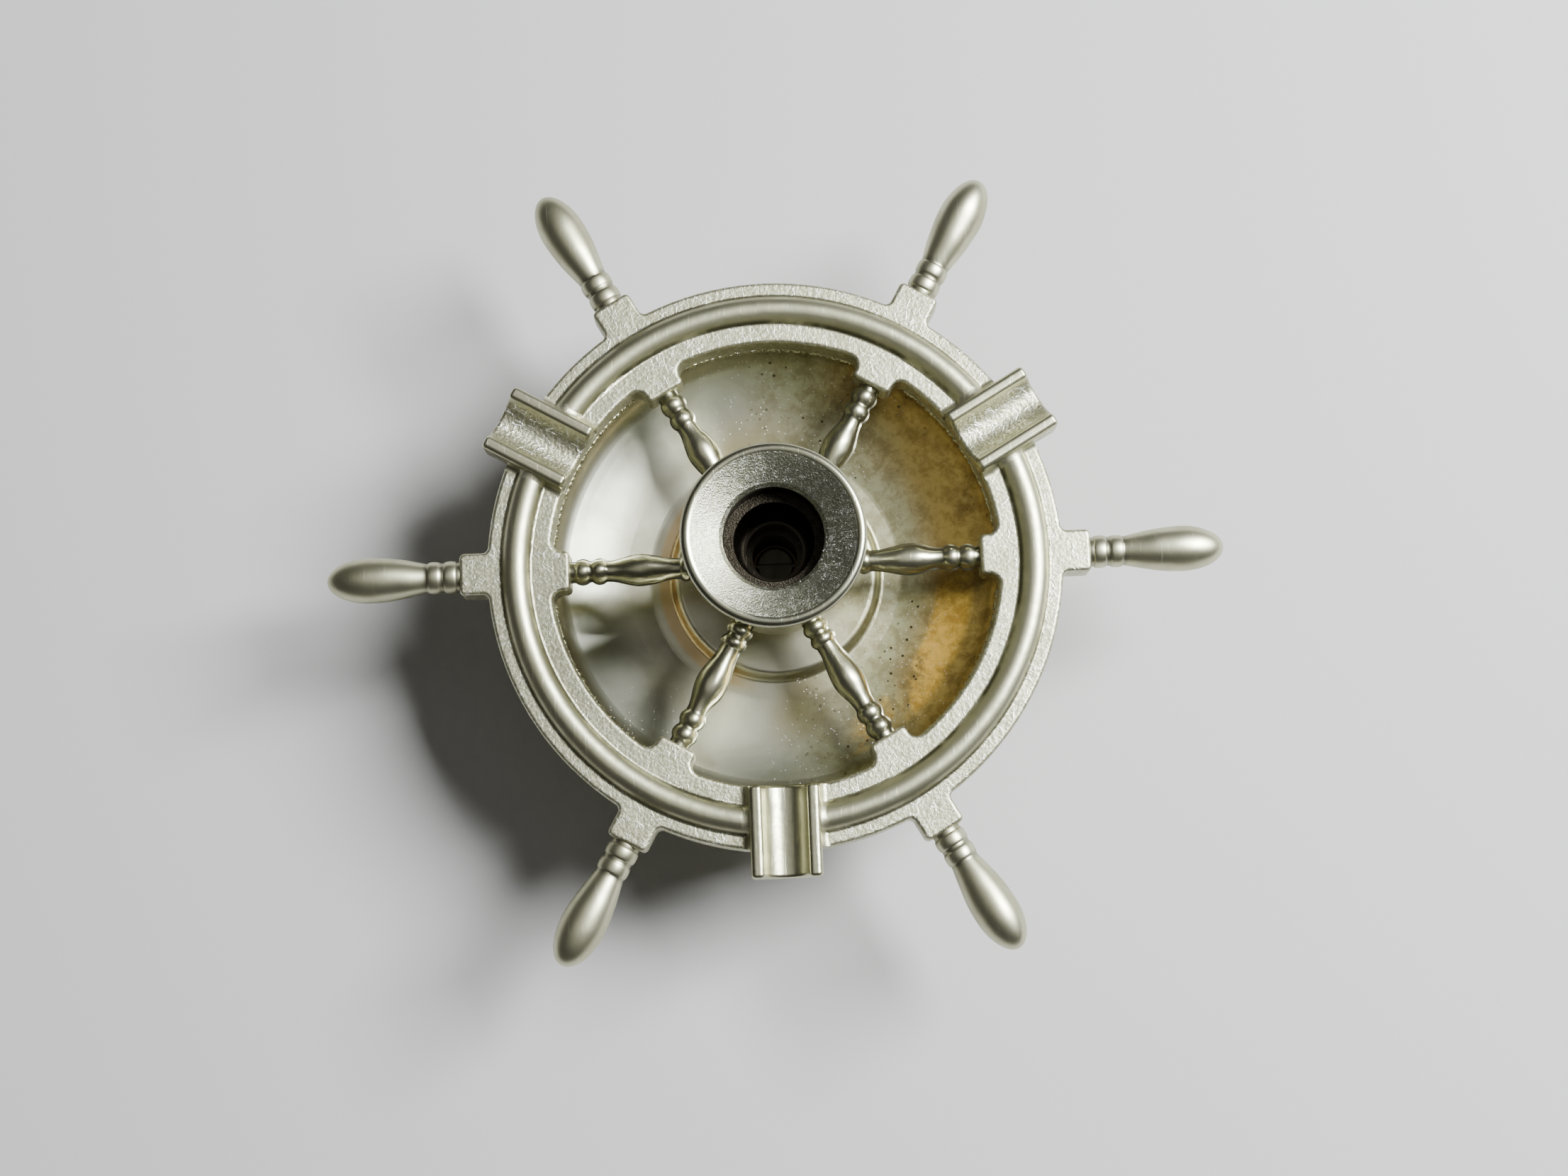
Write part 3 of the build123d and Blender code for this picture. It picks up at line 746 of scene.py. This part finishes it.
def tarnish_and_shade_side(tree, split, cloud):
    """How far to the side with tarnish and painted shade a place is, with a wandering edge."""
    side = maths(tree, "ADD", split.outputs[0], times(tree, split.outputs[1], 0.12))
    wander = times(tree, maths(tree, "SUBTRACT", cloud, 0.5), 45 * MM)
    return maths(tree, "ADD", side, wander)


def golden_reflection_band(tree, radius, split, side, blotch):
    """A painted golden reflection arc in the tarnish near the front of the bowl."""
    band = between(tree, radius, 41.5 * MM, 43.5 * MM, 50 * MM, 53 * MM)
    front = remap(tree, split.outputs[1], 4 * MM, -16 * MM)
    edges = times(tree, remap(tree, side, 12 * MM, 24 * MM), remap(tree, blotch, 0.60, 0.44))
    return times(tree, band, front, edges)


def boss_edge_reflection(tree, radius, split):
    """A faint warm painted reflection round the silvery side of the boss's edge."""
    edge = between(tree, radius, 25.5 * MM, 26.8 * MM, 30 * MM, 32 * MM)
    return times(tree, edge, remap(tree, split.outputs[0], -4 * MM, -14 * MM), 0.6)


class WHEELTRAY_OT_foot(Operator):
    """Finishes the foot, its fastening and the felt pad"""
    bl_idname = "wheeltray.foot"
    bl_label = "Foot"

    def execute(self, context):
        set_material("foot", worked_brass("foot cast brass", 0.35, 0.26, wave=0.08))
        steel = worked_brass("plated steel", 0.0, 0.3, wave=0.01, tint=(0.48, 0.49, 0.50))
        set_material("base_washer", steel)
        set_material("base_nut", steel)
        set_material("felt_pad", felt())
        return {"FINISHED"}


def felt():
    """Matted green felt with a short nap."""
    material, tree, shader = blank_metal("felt")
    shader.inputs["Metallic"].default_value = 0.0
    shader.inputs["Roughness"].default_value = 0.95
    fibre = noise_at(tree, object_place(tree), 2200.0, Detail=4.0, Distortion=2.0)
    tree.links.new(mix_colour(tree, fibre, colours().felt, (0.06, 0.16, 0.09)),
                   shader.inputs["Base Color"])
    tree.links.new(relief(tree, fibre, 0.15), shader.inputs["Normal"])
    return material


class WHEELTRAY_OT_rest_fillets(Operator):
    """Makes the smooth fillets where the rests' walls run into the rim"""
    bl_idname = "wheeltray.rest_fillets"
    bl_label = "Fillets beside the rests"

    def execute(self, context):
        material = worked_brass("fillet brass", 0.25, 0.40, wave=0.10)
        for number, angle in enumerate(REST_ANGLES, start=1):
            for side, label in ((1, "left"), (-1, "right")):
                make_rest_fillet(f"rest_fillet_{number}_{label}", angle, side, material)
        return {"FINISHED"}


def rim_height(radius):
    """Height of the rim's top above its bands at a radius, all in millimetres."""
    if not RIDGE_INNER < radius < RIDGE_OUTER:
        return 0.0
    half = (RIDGE_CREST - RIDGE_INNER) if radius < RIDGE_CREST else (RIDGE_OUTER - RIDGE_CREST)
    crown = sqrt(max(0, 1 - ((radius - RIDGE_CREST) / half) ** 2))
    return RIDGE_HEIGHT * crown ** 1.35


def make_rest_fillet(name, angle, side, material):
    """A concave strip from a rest's upright wall down to the rim's bands and ridge."""
    leg = sizes().fillet_leg / MM
    start, end, steps, across = 56.95, 72.6, 90, 9
    bedding = 0.4
    inner_wall = side * (REST_HALF_WIDTH - bedding) * MM
    bm = bmesh.new()
    rows = []
    for step in range(steps + 1):
        along = start + (end - start) * step / steps
        run = leg * (1 + 0.12 * noise.noise(Vector((along / 2.1, angle, side * 3))))
        foot = rim_height(sqrt(along ** 2 + (REST_HALF_WIDTH + run) ** 2))
        beside_wall = rim_height(sqrt(along ** 2 + REST_HALF_WIDTH ** 2))
        top = min(max(foot, beside_wall) + run, REST_WALL_HEIGHT - 0.25)
        rounded_from = REST_WALL_HEIGHT - REST_WALL_ROUND
        inset = 0.0
        if top > rounded_from:
            drop = top - rounded_from
            inset = REST_WALL_ROUND - sqrt(REST_WALL_ROUND ** 2 - drop ** 2)
        row = []
        for place in range(across + 1):
            turn = pi / 2 * place / across
            out = REST_HALF_WIDTH - inset + (run + inset) * (1 - cos(turn))
            up = foot - 0.02 + (top - foot + 0.02) * (1 - sin(turn))
            row.append(bm.verts.new((along * MM, side * out * MM, RIM_TOP + up * MM)))
        under = RIM_TOP - bedding * MM
        for wide, high in ((side * (REST_HALF_WIDTH + run) * MM, under), (inner_wall, under),
                           (inner_wall, row[0].co.z - 0.3 * MM)):
            row.append(bm.verts.new((along * MM, wide, high)))
        rows.append(row)
    skin_rows(bm, rows)
    bmesh.ops.transform(bm, matrix=Matrix.Rotation(radians(angle), 4, "Z"), verts=bm.verts)
    finish_piece(bm, name, material, "wheel", [], smooth_angle=50)


class WHEELTRAY_OT_spokes(Operator):
    """Makes the spokes: beads, barrel and the step of the casting seam"""
    bl_idname = "wheeltray.spokes"
    bl_label = "Spokes"

    def execute(self, context):
        material = worked_brass(
            "spoke turned brass", 0.06, 0.30, recess=groove_patina(0.35), wave=0.06,
        )
        for number in range(SPOKE_COUNT):
            make_spoke(number, 360 / SPOKE_COUNT * number, material)
        return {"FINISHED"}


def make_spoke(number, angle, material):
    """A spoke from its tenon in the hub out to its block, by distance from the axis."""
    tenon, groove, crown, belly, belly_share = 1.95, 2.75, 3.45, 4.2, 0.56
    hub_end, shoulder, block_face, rim_end = 12.9, 16.8, 51.8, 53.0
    outline = [(hub_end, 0, 1), (hub_end, tenon, 1), (shoulder, tenon, 1), (shoulder, groove, 1)]
    for start in (17.9, 21.4):
        outline += bead(start, 2.9, groove, crown)
    outline += swell(24.9, 42.6, groove, belly, groove, belly_share)
    for start in (43.2, 47.5):
        outline += bead(start, 3.7, groove, crown)
    outline += [(block_face, groove, 1), (rim_end, groove, 1), (rim_end, 0, 1)]
    bm = bmesh.new()
    spin_outline(bm, outline, 96)
    bmesh.ops.recalc_face_normals(bm, faces=bm.faces)
    hand_finish(bm, 0.09 * MM, 3.0 * MM, number + 1)
    narrow_upper_half(bm, number)
    bmesh.ops.transform(bm, matrix=outward(angle), verts=bm.verts)
    finish_piece(
        bm, f"turned_spoke_{number + 1}", material, "wheel",
        [f"spoke_{number + 1}"],
    )


def narrow_upper_half(bm, seed):
    """Leaves the ledge of a casting seam where the spoke's two mould halves met."""
    tenon_reach, ledge_height = 2.4 * MM, 0.12 * MM
    for vert in bm.verts:
        wide = sqrt(vert.co.x ** 2 + vert.co.y ** 2)
        if wide < tenon_reach:
            continue
        ragged = 0.75 + 0.5 * noise.noise(vert.co / (1.9 * MM) + Vector((seed, 5, 2)))
        if vert.co.x > ledge_height:
            vert.co.y *= 1 - sizes().seam_width * ragged / wide


class WHEELTRAY_OT_handles(Operator):
    """Makes the handles: two beads and a vase-shaped grip with a round tip"""
    bl_idname = "wheeltray.handles"
    bl_label = "Handles"

    def execute(self, context):
        material = worked_brass(
            "handle turned brass", 0.0, 0.36, recess=groove_patina(0.4), wave=0.05,
        )
        for number in range(SPOKE_COUNT):
            make_handle(number, 360 / SPOKE_COUNT * number, material)
        return {"FINISHED"}


def make_handle(number, angle, material):
    """A handle from inside its block out to its tip, by distance from the axis."""
    root, groove, neck, full = 3.3, 3.75, 3.85, 5.83
    inner_end, grip, belly, tip = 79.0, 89.9, 104.0, 114.97
    grip_steps, tip_steps = 22, 16
    outline = [(inner_end, 0, 1), (inner_end, root, 1), (80.7, groove, 1), (81.4, groove, 0.8)]
    outline += collar(81.5, 3.3, groove, 4.2)
    outline += [(85.2, groove, 1)]
    outline += collar(85.7, 3.3, groove, 4.15)
    outline += [(89.4, groove, 1)]
    for step in range(grip_steps + 1):
        share = step / grip_steps
        radius = neck + (full - neck) * sin(pi / 2 * share) ** 0.98
        outline.append((grip + (belly - grip) * share, radius, max(0, 0.5 - share * 10)))
    for step in range(1, tip_steps + 1):
        turn = pi / 2 * step / tip_steps
        outline.append((belly + (tip - belly) * sin(turn), full * cos(turn), 0))
    bm = bmesh.new()
    spin_outline(bm, outline, 64)
    bmesh.ops.recalc_face_normals(bm, faces=bm.faces)
    hand_finish(bm, 0.09 * MM, 5.0 * MM, number + 11)
    bmesh.ops.transform(bm, matrix=outward(angle), verts=bm.verts)
    finish_piece(
        bm, f"turned_handle_{number + 1}", material, "wheel",
        [f"handle_{number + 1}"],
    )


class WHEELTRAY_OT_stage(Operator):
    """Sets the floor, the lights and the camera"""
    bl_idname = "wheeltray.stage"
    bl_label = "Stage"

    def execute(self, context):
        make_floor()
        make_lights()
        make_camera()
        return {"FINISHED"}


def make_floor():
    """A plain pale floor, far larger than the object."""
    bm = bmesh.new()
    bmesh.ops.create_grid(bm, x_segments=2, y_segments=2, size=3.0)
    mesh = bpy.data.meshes.new("floor")
    bm.to_mesh(mesh)
    bm.free()
    floor = bpy.data.objects.new("floor", mesh)
    bpy.context.scene.collection.objects.link(floor)
    material = bpy.data.materials.new("plain floor")
    material.use_nodes = True
    shader = material.node_tree.nodes["Principled BSDF"]
    shader.inputs["Base Color"].default_value = (*colours().floor, 1)
    shader.inputs["Roughness"].default_value = 0.8
    floor.data.materials.append(material)


def make_light(name, place, aim, width, height, power, colour):
    """A rectangular area light that faces a point."""
    light = bpy.data.lights.new(name, "AREA")
    light.shape = "RECTANGLE"
    light.size = width
    light.size_y = height
    light.energy = power
    light.color = colour
    lamp = bpy.data.objects.new(name, light)
    lamp.location = place
    lamp.rotation_euler = (Vector(aim) - Vector(place)).to_track_quat("-Z", "Y").to_euler()
    bpy.context.scene.collection.objects.link(lamp)


def make_lights():
    """A cool window from the right, a weak warm bounce from above and a dim room."""
    middle = (0, 0, 0.05)
    make_light("window", (0.76, 0.29, 0.98), middle, 0.56, 0.6, 62, (0.96, 0.985, 1.0))
    make_light("ceiling bounce", (-0.15, 0.10, 1.6), middle, 1.3, 1.3, 2.2, (1.0, 0.99, 0.95))
    world = bpy.data.worlds.new("room")
    world.use_nodes = True
    background = world.node_tree.nodes["Background"]
    background.inputs["Color"].default_value = (0.035, 0.035, 0.033, 1)
    background.inputs["Strength"].default_value = 1.0
    bpy.context.scene.world = world


def make_camera():
    """Camera nearly overhead, tilted a little towards the front of the wheel."""
    tilt, roll = radians(8.84), radians(2.29)
    distance, lens = 0.6438, 58.1
    target = Vector((0.0020, -0.0068, RIM_TOP))
    forward = Vector((0, sin(tilt), -cos(tilt)))
    level_up = Vector((0, cos(tilt), sin(tilt)))
    level_right = Vector((1, 0, 0))
    right = level_right * cos(roll) - level_up * sin(roll)
    up = level_right * sin(roll) + level_up * cos(roll)
    matrix = Matrix((right, up, -forward)).transposed().to_4x4()
    matrix.translation = target - forward * distance
    data = bpy.data.cameras.new("camera")
    data.lens = lens
    data.sensor_width = 36
    data.clip_start = 0.01
    camera = bpy.data.objects.new("camera", data)
    camera.matrix_world = matrix
    bpy.context.scene.collection.objects.link(camera)
    bpy.context.scene.camera = camera


# ---------------------------------------------------------------- add-on parts

class WHEELTRAY_PT_panel(Panel):
    """Lists the pieces of the wheel ashtray"""
    bl_idname = "WHEELTRAY_PT_panel"
    bl_label = "Ship's wheel ashtray"
    bl_space_type = "VIEW_3D"
    bl_region_type = "UI"
    bl_category = "Wheel Tray"

    def draw(self, context):
        for operator in PIECES:
            self.layout.operator(operator.bl_idname)
        for group in (sizes(), colours()):
            for name in group.bl_rna.properties.keys():
                if name not in ("rna_type", "name"):
                    self.layout.prop(group, name)


PIECES = (
    WHEELTRAY_OT_stage,
    WHEELTRAY_OT_rim,
    WHEELTRAY_OT_rests,
    WHEELTRAY_OT_rest_fillets,
    WHEELTRAY_OT_rim_flash,
    WHEELTRAY_OT_hub,
    WHEELTRAY_OT_pivot,
    WHEELTRAY_OT_bowl,
    WHEELTRAY_OT_foot,
    WHEELTRAY_OT_spokes,
    WHEELTRAY_OT_handles,
)
CLASSES = (WheelTraySizes, WheelTrayColours, *PIECES, WHEELTRAY_PT_panel)


def register():
    for item in CLASSES:
        bpy.utils.register_class(item)
    bpy.types.Scene.wheel_tray_sizes = PointerProperty(type=WheelTraySizes)
    bpy.types.Scene.wheel_tray_colours = PointerProperty(type=WheelTrayColours)


def unregister():
    del bpy.types.Scene.wheel_tray_colours
    del bpy.types.Scene.wheel_tray_sizes
    for item in reversed(CLASSES):
        bpy.utils.unregister_class(item)


def main():
    register()
    for operator in PIECES:
        family, name = operator.bl_idname.split(".")
        getattr(getattr(bpy.ops, family), name)()


if __name__ == "__main__":
    main()
